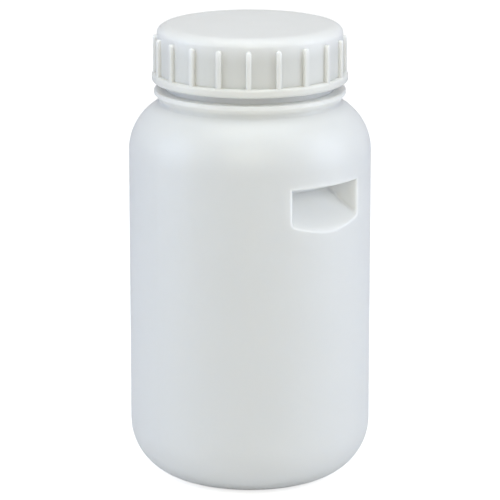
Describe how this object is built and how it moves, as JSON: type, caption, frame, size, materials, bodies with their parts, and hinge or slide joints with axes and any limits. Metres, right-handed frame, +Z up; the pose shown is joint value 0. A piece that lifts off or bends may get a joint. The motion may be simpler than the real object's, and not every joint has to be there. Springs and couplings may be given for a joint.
{
  "type": "reagent bottle",
  "caption": "Wide-mouth polyethylene reagent bottle of about two litres, with recessed finger grips, an inner stopper and a ribbed screw cap.",
  "frame": {"origin": "centre of the base, on the surface that the bottle stands on", "axes": "+Z up along the bottle's axis, -Y the front"},
  "size_m": [0.12, 0.12, 0.2289],
  "materials": {
    "bottle_shell": "translucent milky polyethylene, satin",
    "stopper": "soft natural polyethylene, satin",
    "liner_foam": "foamed polyethylene sheet, matt",
    "cap": "white moulded plastic, semi-gloss"
  },
  "bodies": {
    "bottle": {"bottle_body": "bottle_shell"},
    "liner": {"cap_liner": "liner_foam"},
    "cap": {"screw_cap": "cap"},
    "stopper": {"inner_stopper": "stopper"}
  },
  "joints": [
    {"name": "cap_rise", "type": "slide", "parent": "bottle", "child": "liner", "axis": [0, 0, 1], "range_m": [0, 0.03]},
    {"name": "cap_turn", "type": "hinge", "parent": "liner", "child": "cap", "pos_m": [0, 0, 0.21], "axis": [0, 0, 1], "range_deg": [0, 1800]},
    {"name": "stopper_lift", "type": "slide", "parent": "bottle", "child": "stopper", "axis": [0, 0, 1], "range_m": [0, 0.015]}
  ],
  "couplings": [
    {"joint": "cap_rise", "follows": "cap_turn", "m_per_rad": 0.00095493},
    {"joint": "stopper_lift", "follows": "cap_turn", "m_per_rad": 0.00047746}
  ]
}
